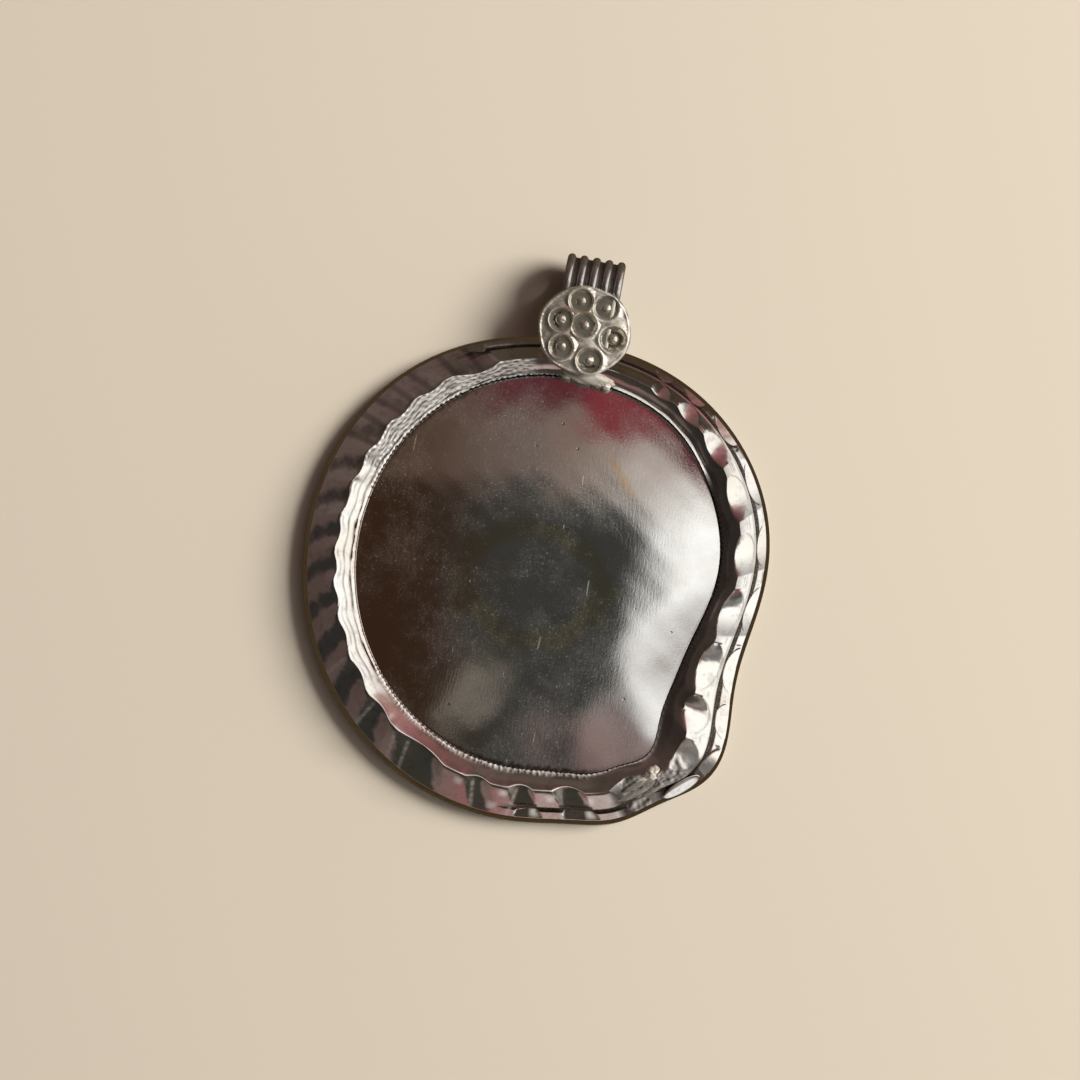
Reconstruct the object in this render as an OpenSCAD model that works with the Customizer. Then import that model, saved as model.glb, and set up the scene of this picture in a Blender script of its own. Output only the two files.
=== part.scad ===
// Silver amulet pendant: an oval, pinched body with a domed mirror plate, held by a toothed lip inside a
// fluted band, with a flat back, a ribbed bail and a small stamped rosette over the bail's root. The
// strip, bail and rosette are soldered together, so they are one solid, the setting.
// The back lies on z = 0, the face looks along +Z and the bail is at +Y. Clock angles are counted
// clockwise as seen from the front, from 0 at the bail.

/* [Body outline] */
// Width of the body at the foot, across the oval
body_w = 29.5; // [28:0.5:31.5]
// Length of the body at the foot, along the oval
body_l = 31; // [29.5:0.5:33]
// Clock angle of the oval's long axis
oval_clock = -10; // [-20:1:0]

/* [Band and lip] */
// Plan width of the fluted band, from the foot in to the crest
band_w = 1.75; // [1.65:0.05:1.95]
// Plan width of the smooth lip, from the crest in to the tips of its teeth
lip_w = 1.3; // [1.25:0.05:1.4]
// Height of the crest over the back
crest_h = 2.8; // [2.7:0.05:3]
// Height of the foot's upright edge over the back
foot_h = 1.2; // [1:0.05:1.3]
// Depth of a scoop of the usual width
flute_depth = 0.34; // [0.1:0.02:0.36]
// Clock angle that a scoop of the usual width takes
flute_clock = 11; // [9:0.5:13]
// Length of a tooth
tooth_l = 0.2; // [0.1:0.02:0.3]
// Clock angle that a tooth takes
tooth_pitch = 1.5; // [1.5:0.25:3]
// Thickness of the strip
strip_t = 0.4; // [0.3:0.05:0.45]
// How far the foot's thin edge stands out
foot_edge = 0.25; // [0.1:0.05:0.4]

/* [Plates] */
// Thickness of the back plate
back_t = 0.45; // [0.3:0.05:0.5]
// Thickness of the mirror plate
disc_t = 0.35; // [0.3:0.05:0.4]
// Rise of the mirror plate's dome
disc_rise = 1.15; // [0.6:0.05:1.4]
// Seam between neighbouring pieces
seam = 0.03; // [0.02:0.01:0.05]

/* [Bail] */
// Width of the bail's strip
bail_w = 3.7; // [3.5:0.1:4.1]
// Radius of the bail's opening
bail_bore_r = 1.25; // [1:0.05:1.3]
// Thickness of the bail's strip between the ribs
bail_wall = 0.32; // [0.3:0.02:0.4]
// Ribs round the bail
bail_ribs = 5; // [3:1:5]
// Distance of the bail's opening from the middle of the body
bail_y = 18.4; // [18.3:0.05:18.7]

/* [Rosette] */
// Distance of the rosette from the middle of the body
rosette_y = 15.45; // [15.3:0.05:15.6]
// Tilt of the rosette, up towards the bail
rosette_tilt = 6; // [4:0.5:8]
// Petals round the middle cell
petals = 6; // [5:1:6]
// Distance from the rosette's middle to the middle of a petal
petal_reach = 1.95; // [1.8:0.05:2.1]
// Clock angle of the first petal
petal_clock = -18; // [-30:1:30]
// Radius of a cell's raised ring, to the middle of its wire
cell_r = 0.76; // [0.6:0.02:0.8]
// Radius of the grain in each cell
grain_r = 0.34; // [0.2:0.02:0.4]

/* [Hidden] */
silver = "silver";
mirror = "gainsboro";

// Bumps and dents of the outline. Columns: clock angle, outward reach and spread in degrees at the foot,
// then the same three at the plate.
SWELLS = [
    [102, -1.25, 26, 107, -1.33, 25], // the dent
    [129, 1.75, 14, 139, 1.25, 8],    // the blunt corner
    [152, 0.75, 10, 153, 0.75, 10],   // the full stretch beyond the corner
    [-3, -0.8, 32, -3, 0, 32],        // the flatter brow under the bail
    [32, 0, 20, 32, 0.4, 20]          // the narrower lip beside the rosette
];

// Runs of flutes round the band. Columns: clock angle where the run starts, flutes in it. Each run ends
// where the next one starts, and the last, plain one under the rosette ends where the first starts.
RUNS = [
    [20, 1],
    [28.5, 1],
    [38.5, 1],
    [51.5, 1],
    [67.5, 1],
    [83, 1],
    [101, 1],
    [117.5, 2],
    [138, 1],
    [155.4, 1],
    [169.4, 1],
    [180.4, 1],
    [192.1, 1],
    [213.5, 3],
    [247, 5],
    [294, 3],
    [324, 1],
    [340, 0]
];

// The plate's edge lies this far inside the foot, under the teeth and on the ledge.
disc_inset = band_w + lip_w - 0.45;
disc_z = 1.25;
rim_z = disc_z + disc_t;
teeth_z = rim_z + 0.17;
groove_x = 0.37 * band_w;
collar_x = disc_inset - 0.15;
ledge_x = disc_inset + 0.35;
collar_z = back_t + seam;
slope_h = crest_h - foot_h;

// Section of the strip, from the foot up the band, over the crest, down the lip and back inside.
// Columns: distance inside the foot, height, how far a scoop moves it in, how far a scoop moves it down
// (both as a share of the scoop's depth), points for each step round the body.
SECTION = [
    [-foot_edge, 0, 0, 0, 1],
    [-foot_edge, 0.32, 0, 0, 1],
    [0, 0.45, 0, 0, 1],
    [0, foot_h, -0.12, 0, 1],
    [0.16 * band_w, foot_h + 0.24 * slope_h, 0.5, 0.55, 1],
    [groove_x - 0.13, foot_h + 0.37 * slope_h, 0.45, 0.4, 1],
    [groove_x, foot_h + 0.34 * slope_h, 0.25, 0.2, 1],
    [groove_x + 0.15, foot_h + 0.5 * slope_h, 0.45, 0.5, 1],
    [0.66 * band_w, foot_h + 0.75 * slope_h, 0.7, 0.8, 1],
    [0.86 * band_w, foot_h + 0.92 * slope_h, 0.75, 0.75, 1],
    [band_w, crest_h, 0.62, 0.5, 1],
    [band_w + 0.35 * lip_w, crest_h - 0.36, 0.15, 0.1, 1],
    [band_w + lip_w, teeth_z + 0.13, 0, 0, 2],
    [band_w + lip_w, teeth_z, 0, 0, 2],
    [collar_x, teeth_z + 0.14, 0, 0, 0.5],
    [collar_x, disc_z - seam, 0, 0, 0.5],
    [ledge_x, disc_z - seam, 0, 0, 0.5],
    [ledge_x, collar_z, 0, 0, 0.5],
    [collar_x - strip_t, collar_z, 0, 0, 0.5],
    [collar_x - strip_t, crest_h - 1.2, 0, 0, 0.5],
    [band_w - 0.25, crest_h - 1.3, 0, 0, 0.5],
    [strip_t, foot_h - 0.3, 0, 0, 0.5],
    [strip_t, 0, 0, 0, 0.5]
];

// Outline of the body

// The same angle between -180 and 180 degrees
function wrapped(angle) = (angle + 900) % 360 - 180;

// Radius of an oval with these half axes
function oval_r(clock, half_w, half_l) =
    let (turn = clock - oval_clock)
    1 / sqrt(pow(sin(turn) / half_w, 2) + pow(cos(turn) / half_l, 2));

// Outward reach of one swell, where depth is 0 at the foot and 1 at the plate
function swell_r(swell, clock, depth) =
    let (middle = swell[0] + (swell[3] - swell[0]) * depth)
    let (reach = swell[1] + (swell[4] - swell[1]) * depth)
    let (spread = swell[2] + (swell[5] - swell[2]) * depth)
    reach * exp(-pow(wrapped(clock - middle) / spread, 2));

function total(list, count) = count == 0 ? 0 : list[count - 1] + total(list, count - 1);

// Radius of the body at a distance inside the foot
function rim_r(clock, inset) =
    let (depth = max(min(inset / (band_w + lip_w), 1), 0))
    let (swells = [for (swell = SWELLS) swell_r(swell, clock, depth)])
    oval_r(clock, body_w / 2 - inset, body_l / 2 - inset) + total(swells, len(swells));

function place(clock, radius, height) = [radius * sin(clock), radius * cos(clock), height];

// Rings of points and the faces between them

// Faces between two rings, one of which has a whole number of times the other's points
function stitch(a, a_count, b, b_count) =
    a_count <= b_count
        ? let (m = b_count / a_count, h = ceil(m / 2))
          [for (i = [0 : a_count - 1])
              let (a0 = a + i, a1 = a + (i + 1) % a_count)
              each concat(
                  [[a0, a1, b + (m * i + h) % b_count]],
                  [for (k = [0 : m - 1]) [k < h ? a0 : a1, b + (m * i + k + 1) % b_count, b + m * i + k]]
              )]
        : let (m = a_count / b_count, h = ceil(m / 2))
          [for (i = [0 : b_count - 1])
              let (b0 = b + i, b1 = b + (i + 1) % b_count)
              each concat(
                  [[a + (m * i + h) % a_count, b1, b0]],
                  [for (k = [0 : m - 1]) [a + m * i + k, a + (m * i + k + 1) % a_count, k < h ? b0 : b1]]
              )];

// First point of each ring in the joined list
function starts(rings, count) =
    count == 0
        ? [0]
        : let (before = starts(rings, count - 1))
          concat(before, [before[count - 1] + len(rings[count - 1])]);

// Faces between each ring and the next
function walls(rings, first) =
    [for (j = [0 : len(rings) - 2]) each stitch(first[j], len(rings[j]), first[j + 1], len(rings[j + 1]))];

function joined(rings) = [for (ring = rings) each ring];

// A body whose section is closed on itself, as of a bent strip
module closed_loft(rings) {
    first = starts(rings, len(rings));
    last = len(rings) - 1;
    closing = stitch(first[last], len(rings[last]), first[0], len(rings[0]));
    polyhedron(joined(rings), concat(walls(rings, first), closing));
}

// A body that starts and ends in one point, as of a domed plate
module capped_loft(bottom, rings, top) {
    first = starts(rings, len(rings));
    last = len(rings) - 1;
    count = len(rings[0]);
    base = first[last + 1];
    under = [for (i = [0 : count - 1]) [base, first[0] + (i + 1) % count, first[0] + i]];
    over = [for (i = [0 : count - 1]) [first[last] + i, first[last] + (i + 1) % count, base + 1]];
    polyhedron(concat(joined(rings), [bottom, top]), concat(walls(rings, first), under, over));
}

// Steps of one run of flutes. Each is a clock angle and the scoop's depth there, 0 on a ridge between
// two scoops. A wider scoop is deeper.
function run_steps(start, end, flutes) =
    let (wide = (end - start) / max(flutes, 1))
    let (cuts = 2 * round(wide / (2 * tooth_pitch)))
    let (depth = flutes == 0 ? 0 : flute_depth * min(wide / flute_clock, 1.6))
    [for (f = [0 : max(flutes, 1) - 1], c = [0 : cuts - 1])
        [start + (f + c / cuts) * wide, depth * sin(180 * c / cuts)]];

function run_end(i) = i + 1 < len(RUNS) ? RUNS[i + 1][0] : RUNS[0][0] + 360;

STEPS = [for (i = [0 : len(RUNS) - 1]) each run_steps(RUNS[i][0], run_end(i), RUNS[i][1])];

function next_clock(i) = i + 1 < len(STEPS) ? STEPS[i + 1][0] : STEPS[0][0] + 360;

// One ring of the strip for a row of SECTION
function plain_ring(row, every) =
    [for (i = [0 : every : len(STEPS) - 1])
        let (clock = STEPS[i][0], scoop = STEPS[i][1])
        place(clock, rim_r(clock, row[0]) - scoop * row[2], row[1] - scoop * row[3])];

function tooth_ring(row) =
    [for (i = [0 : len(STEPS) - 1], tip = [0, 1])
        let (clock = STEPS[i][0] + tip * (next_clock(i) - STEPS[i][0]) / 2)
        place(clock, rim_r(clock, row[0] - (1 - tip) * tooth_l), row[1])];

function strip_ring(row) = row[4] == 2 ? tooth_ring(row) : plain_ring(row, 1 / row[4]);

// The pieces of the setting

// The strip bent round the plate, with the fluted band outside and the toothed lip inside
module fluted_strip() {
    color(silver)
        closed_loft([for (row = SECTION) strip_ring(row)]);
}

// The wall of the bail's strip, and round ribs on its outside
rib_r = 0.26;
rib_reach = bail_bore_r + bail_wall - 0.04;
rib_pitch = (bail_w - 2 * rib_r) / (bail_ribs - 1);
bail_z = rib_reach + rib_r + 0.06;

module bail_section() {
    translate([bail_bore_r, -bail_w / 2])
        square([bail_wall, bail_w]);
    for (i = [0 : bail_ribs - 1])
        translate([rib_reach, -bail_w / 2 + rib_r + i * rib_pitch])
            circle(rib_r, $fn = 24);
}

module bail() {
    color(silver)
        translate([0, bail_y, bail_z])
            rotate([0, 90, 0])
                rotate_extrude($fn = 96)
                    bail_section();
}

// The bail's root, soldered to the band's plain stretch and hidden under the rosette
foot_y = rim_r(0, 0);
seat_y = rim_r(0, band_w);
seat_z = crest_h - 0.05;
neck_w = 3;
neck_end = bail_y - bail_bore_r - 0.15;

module neck() {
    color(silver)
        translate([-neck_w / 2, 0, 0])
            rotate([90, 0, 90])
                linear_extrude(neck_w)
                    polygon([
                        [seat_y + 0.1, seat_z],
                        [foot_y - 0.15, 0.7],
                        [neck_end, 0.7],
                        [neck_end, seat_z + 0.3]
                    ]);
}

// The rosette's sheet, the wire of its rings and the edge of the sheet round each ring
petal_t = 0.35;
wire_r = 0.15;
cell_edge = cell_r + wire_r + 0.08;

// One cell of the rosette: its sheet, the raised ring and the grain
module cell() {
    cylinder(r = cell_edge, h = petal_t, $fn = 48);
    translate([0, 0, petal_t])
        rotate_extrude($fn = 48)
            translate([cell_r, 0])
                circle(wire_r, $fn = 16);
    translate([0, 0, petal_t])
        sphere(grain_r, $fn = 24);
}

module flower() {
    cylinder(r = petal_reach + 0.85 * cell_r, h = petal_t, $fn = 72);
    cell();
    for (i = [0 : petals - 1])
        rotate([0, 0, -petal_clock - i * 360 / petals])
            translate([0, petal_reach, 0])
                cell();
}

// The flower and the tongue of the bail's strip under it, tilted up towards the bail
tongue_w = 3.3;

module rosette() {
    color(silver)
        translate([0, seat_y, seat_z])
            rotate([rosette_tilt, 0, 0]) {
                translate([0, rosette_y - seat_y, 0])
                    flower();
                translate([-tongue_w / 2, 0, 0])
                    cube([tongue_w, bail_y - seat_y - 0.4, petal_t]);
            }
}

// The nodes

module setting() {
    fluted_strip();
    neck();
    bail();
    rosette();
}

module back_plate() {
    outline = [for (k = [0 : 119]) place(3 * k, rim_r(3 * k, strip_t + seam), 0)];
    color(silver)
        linear_extrude(back_t)
            polygon([for (p = outline) [p[0], p[1]]]);
}

// One ring of the mirror plate, at a share of its outline
function disc_ring(share, height) =
    [for (k = [0 : 119])
        place(3 * k, share * rim_r(3 * k, disc_inset), height + disc_rise * (1 - share * share))];

module mirror_disc() {
    under = [for (share = [0.33, 0.67, 1]) disc_ring(share, disc_z)];
    over = [for (share = [1, 0.85, 0.68, 0.51, 0.34, 0.17]) disc_ring(share, rim_z)];
    color(mirror)
        capped_loft([0, 0, disc_z + disc_rise], concat(under, over), [0, 0, rim_z + disc_rise]);
}

setting();
back_plate();
mirror_disc();
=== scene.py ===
"""Looks of the silver amulet pendant: fluted setting, toothed lip, mirror plate, rosette and ribbed bail."""
import math

import bmesh
import bpy
import numpy as np
from mathutils import Matrix, Vector


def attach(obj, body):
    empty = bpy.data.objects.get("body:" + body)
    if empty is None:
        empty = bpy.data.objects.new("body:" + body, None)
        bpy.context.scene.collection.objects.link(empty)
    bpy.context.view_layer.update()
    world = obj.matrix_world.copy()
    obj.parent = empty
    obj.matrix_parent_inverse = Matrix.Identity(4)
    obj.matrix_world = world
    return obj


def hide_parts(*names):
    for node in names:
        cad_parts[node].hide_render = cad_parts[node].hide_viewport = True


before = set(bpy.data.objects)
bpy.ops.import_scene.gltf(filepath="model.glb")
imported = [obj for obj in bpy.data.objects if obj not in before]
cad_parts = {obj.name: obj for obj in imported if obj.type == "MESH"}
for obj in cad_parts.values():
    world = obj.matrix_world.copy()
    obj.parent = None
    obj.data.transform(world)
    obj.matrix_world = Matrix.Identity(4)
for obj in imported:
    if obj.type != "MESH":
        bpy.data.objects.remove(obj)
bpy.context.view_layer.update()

MM = 0.001
LEAN = 10.4                                # the bail leans clockwise by this angle in the picture
BAND_ARC, LIP_ARC = 0.26, 0.23             # millimetres along the band and the lip for a degree of the clock

# Body sizes in millimetres, as in the part's source
BODY_W, BODY_L, OVAL_CLOCK = 29.5, 31.0, -10.0
BAND_W, LIP_W, CREST_H, FOOT_H = 1.75, 1.3, 2.8, 1.2
FLUTE_DEPTH, FLUTE_CLOCK, TOOTH_L, TOOTH_PITCH = 0.34, 11.0, 0.20, 1.5
STRIP_T, FOOT_EDGE = 0.4, 0.25
BACK_T, DISC_T, DISC_RISE, SEAM = 0.45, 0.35, 1.15, 0.03
BAIL_W, BAIL_R, BAIL_WALL, BAIL_RIBS, BAIL_Y = 3.7, 1.25, 0.32, 5, 18.4
ROSETTE_Y, ROSETTE_TILT, PETAL_T = 15.45, 6.0, 0.35

DISC_INSET = BAND_W + LIP_W - 0.45
DISC_Z = 1.25
RIM_Z = DISC_Z + DISC_T
TEETH_Z = RIM_Z + 0.17
COLLAR_X = DISC_INSET - 0.15

# Swells and dents of the outline: clock angle, outward reach and spread at the foot, then the same three
# at the plate
SWELLS = [
    (102, -1.25, 26, 107, -1.33, 25),
    (129, 1.75, 14, 139, 1.25, 8),
    (152, 0.75, 10, 153, 0.75, 10),
    (-3, -0.8, 32, -3, 0, 32),
    (32, 0, 20, 32, 0.4, 20),
]
# Clock angle where a run of flutes starts, and how many flutes it has
RUNS = [(20, 1), (28.5, 1), (38.5, 1), (51.5, 1), (67.5, 1), (83, 1), (101, 1), (117.5, 2), (138, 1),
        (155.4, 1), (169.4, 1), (180.4, 1), (192.1, 1), (213.5, 3), (247, 5), (294, 3), (324, 1), (340, 0)]


# Outline of the body, and the curves that the rest is made of

def oval_r(clock, half_w, half_l):
    """Radius of the plain oval at a clock angle."""
    turn = np.radians(clock - OVAL_CLOCK)
    return 1 / np.sqrt((np.sin(turn) / half_w) ** 2 + (np.cos(turn) / half_l) ** 2)


def rim_r(clock, inset):
    """Radius of the body at a distance inside the foot; clock and inset are arrays or numbers."""
    depth = np.clip(inset / (BAND_W + LIP_W), 0, 1)
    r = oval_r(clock, BODY_W / 2 - inset, BODY_L / 2 - inset)
    for c0, r0, s0, c1, r1, s1 in SWELLS:
        middle, reach, spread = c0 + (c1 - c0) * depth, r0 + (r1 - r0) * depth, s0 + (s1 - s0) * depth
        off = (clock - middle + 900) % 360 - 180
        r = r + reach * np.exp(-(off / spread) ** 2)
    return r


def polar(clock, radius, z):
    """Points at a clock angle, a radius and a height."""
    a = np.radians(clock)
    return np.stack(np.broadcast_arrays(radius * np.sin(a), radius * np.cos(a), z), -1)


def smooth(x, lo, hi):
    """0 below lo, 1 above hi, and an even curve between them."""
    t = np.clip((x - lo) / (hi - lo), 0, 1)
    return t * t * (3 - 2 * t)


def zone(clock, rise, full, fall, end):
    """1 where the clock angle lies between full and fall, easing to 0 at rise and at end."""
    return smooth(clock, rise, full) * (1 - smooth(clock, fall, end))


def hump(x, middle, half):
    """A rounded hump of height 1, with 0 outside its half width."""
    return np.maximum(0, 1 - ((x - middle) / half) ** 2)


def waves(x, y, scale, seed, count=7):
    """A smooth random field, about -1 to 1, with features about scale millimetres wide."""
    rng = np.random.default_rng(seed)
    total = np.zeros(np.broadcast(x, y).shape)
    for _ in range(count):
        a, p, k = rng.uniform(0, 2 * np.pi), rng.uniform(0, 2 * np.pi), rng.uniform(0.6, 1.5) / scale
        total += np.sin(2 * np.pi * k * (x * np.cos(a) + y * np.sin(a)) + p)
    return total / math.sqrt(count) / 1.3


# Meshes

SAME_PLACE = 1e-7                          # metres


def piece(name, verts, faces, material, dirt_and_shade=None, wear_and_highlight=None, sharp=60, replaces="setting"):
    """A smooth piece from points in millimetres, with each point's soiling and painted shade, and its wear
    and painted light.
    """
    me = bpy.data.meshes.new(name)
    me.from_pydata((np.asarray(verts) * MM).tolist(), [], faces)
    for key, values in (("dirt_and_shade", dirt_and_shade), ("wear_and_highlight", wear_and_highlight)):
        if values is not None:
            data = me.attributes.new(key, "FLOAT", "POINT").data
            data.foreach_set("value", np.asarray(values, np.float32))
    # points that fall on one another become one, and every face looks outward
    bm = bmesh.new()
    bm.from_mesh(me)
    bmesh.ops.remove_doubles(bm, verts=bm.verts, dist=SAME_PLACE)
    bmesh.ops.recalc_face_normals(bm, faces=bm.faces)
    bm.to_mesh(me)
    bm.free()
    me.validate()
    me.shade_smooth()
    me.set_sharp_from_angle(angle=math.radians(sharp))
    me.materials.append(material)
    o = bpy.data.objects.new(name, me)
    bpy.context.scene.collection.objects.link(o)
    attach(o, "root")
    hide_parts(replaces)
    return o


def grid_faces(rows, cols, wrap_rows=False, wrap_cols=True, base=0, flip=False):
    """Quads over a grid of points. Its columns close on themselves unless told not to, its rows if asked."""
    i = np.arange(rows if wrap_rows else rows - 1)[:, None]
    j = np.arange(cols if wrap_cols else cols - 1)[None, :]
    a, b = i * cols + j, i * cols + (j + 1) % cols
    c, d = ((i + 1) % rows) * cols + (j + 1) % cols, ((i + 1) % rows) * cols + j
    q = np.stack([a, b, c, d], -1).reshape(-1, 4) + base
    return (q[:, ::-1] if flip else q).tolist()


def capped_faces(rows, cols):
    """Quads over a grid, and a fan at each end: the two points after it close its first and its last row."""
    first, last, end = rows * cols, rows * cols + 1, (rows - 1) * cols
    faces = grid_faces(rows, cols)
    faces += [[first, (j + 1) % cols, j] for j in range(cols)]
    faces += [[last, end + j, end + (j + 1) % cols] for j in range(cols)]
    return faces


def ball(rows, cols):
    """Points of a ball of radius 1, a row at a time from pole to pole."""
    u = np.linspace(0, np.pi, rows)[:, None]
    v = np.linspace(0, 2 * np.pi, cols, endpoint=False)[None, :]
    return np.stack([np.sin(u) * np.cos(v), np.sin(u) * np.sin(v), np.cos(u) * np.ones_like(v)], -1)


# Materials

def nodes_of(tree):
    """Short ways to add nodes to a tree and link them."""
    def add(kind, values=None, **settings):
        n = tree.nodes.new(kind)
        for k, v in settings.items():
            setattr(n, k, v)
        for k, v in (values or {}).items():
            if isinstance(v, bpy.types.NodeSocket):
                tree.links.new(v, n.inputs[k])
            else:
                n.inputs[k].default_value = v
        return n

    def math_(op, a, b=0.0, clamp=False):
        return add("ShaderNodeMath", {0: a, 1: b}, operation=op, use_clamp=clamp).outputs[0]

    def plane(x, y, per_x, per_y, start=0.0):
        """per_x times x and per_y times y, from start."""
        return math_("ADD", math_("ADD", math_("MULTIPLY", x, per_x), math_("MULTIPLY", y, per_y)), start)

    def ramp(x, lo, hi, to_lo=0.0, to_hi=1.0):
        values = {"Value": x, "From Min": lo, "From Max": hi, "To Min": to_lo, "To Max": to_hi}
        return add("ShaderNodeMapRange", values, interpolation_type="SMOOTHSTEP").outputs[0]

    def mix(fac, a, b):
        return add("ShaderNodeMix", {0: fac, 6: a, 7: b}, data_type="RGBA").outputs[2]

    def noise(vector, scale, detail=3.0, rough=0.55):
        values = {"Vector": vector, "Scale": scale, "Detail": detail, "Roughness": rough}
        return add("ShaderNodeTexNoise", values).outputs[0]

    return add, math_, plane, ramp, mix, noise


BUMP_DEPTH = 0.00001                       # metres


def new_material(name):
    """A new material: places in millimetres, the function that finishes it, and short ways to add nodes."""
    m = bpy.data.materials.new(name)
    m.use_nodes = True
    m.node_tree.nodes.clear()
    add, math_, plane, ramp, mix, noise = nodes_of(m.node_tree)
    out = add("ShaderNodeOutputMaterial")
    bsdf = add("ShaderNodeBsdfPrincipled")
    m.node_tree.links.new(bsdf.outputs[0], out.inputs[0])
    position = add("ShaderNodeTexCoord").outputs["Object"]
    mm = add("ShaderNodeVectorMath", {0: position, "Scale": 1 / MM}, operation="SCALE").outputs[0]

    def finish(colour, roughness, height, metallic):
        link = m.node_tree.links.new
        link(colour, bsdf.inputs["Base Color"])
        link(roughness, bsdf.inputs["Roughness"])
        link(metallic, bsdf.inputs["Metallic"])
        bump = add("ShaderNodeBump", {"Height": height, "Distance": BUMP_DEPTH, "Strength": 1.0})
        link(bump.outputs[0], bsdf.inputs["Normal"])
        return m

    return mm, finish, add, math_, plane, ramp, mix, noise


def silver(name, tone, rough_lo, rough_hi, grain, frost=0.0, metallic=1.0):
    """Worked silver: pale with wear and painted light, brown in grooves and painted shade, with fine hammer
    and polishing marks.
    """
    mm, finish, add, math_, plane, ramp, mix, noise = new_material(name)
    dirt_and_shade = add("ShaderNodeAttribute", attribute_name="dirt_and_shade").outputs["Fac"]
    wear_and_highlight = add("ShaderNodeAttribute", attribute_name="wear_and_highlight").outputs["Fac"]
    cloud = noise(mm, 0.45, 4.0)
    patina = ramp(noise(mm, 1.6, 6.0, 0.75), 0.50, 0.64, 0.0, 0.38)
    spots = ramp(noise(mm, 2.6, 5.0, 0.7), 0.60, 0.74)
    fine = noise(mm, 14.0, 3.0, 0.6)
    dark = math_("MULTIPLY", dirt_and_shade, ramp(fine, 0.25, 0.6, 0.75, 1.0))
    dark = math_("ADD", dark, math_("MULTIPLY", spots, 0.10), clamp=True)
    worn = (tone[0] * 0.93, tone[1] * 0.90, tone[2] * 0.85, 1)
    colour = mix(patina, mix(ramp(cloud, 0.35, 0.65), (*tone, 1), worn), (0.44, 0.37, 0.33, 1))
    # wear and painted highlights whiten the colour
    colour = mix(wear_and_highlight, colour, (0.95, 0.94, 0.92, 1))
    # dirt and painted shade darken it to this brown
    colour = mix(dark, colour, (0.050, 0.035, 0.025, 1))
    roughness = ramp(cloud, 0.3, 0.7, rough_lo, rough_hi)
    roughness = math_("ADD", roughness, math_("MULTIPLY", dark, 0.35), clamp=True)
    roughness = math_("ADD", roughness, math_("MULTIPLY", wear_and_highlight, 0.18), clamp=True)
    grit = math_("MULTIPLY", noise(mm, 55.0, 2.0), grain * 0.35 + frost)
    height = math_("ADD", math_("MULTIPLY", fine, grain), grit)
    height = math_("MULTIPLY", height, math_("ADD", 1.0, math_("MULTIPLY", wear_and_highlight, 6.0)))
    # worn frosty places and places with painted light scatter some light
    return finish(colour, roughness, height, math_("SUBTRACT", metallic, math_("MULTIPLY", wear_and_highlight, 0.70)))


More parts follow.
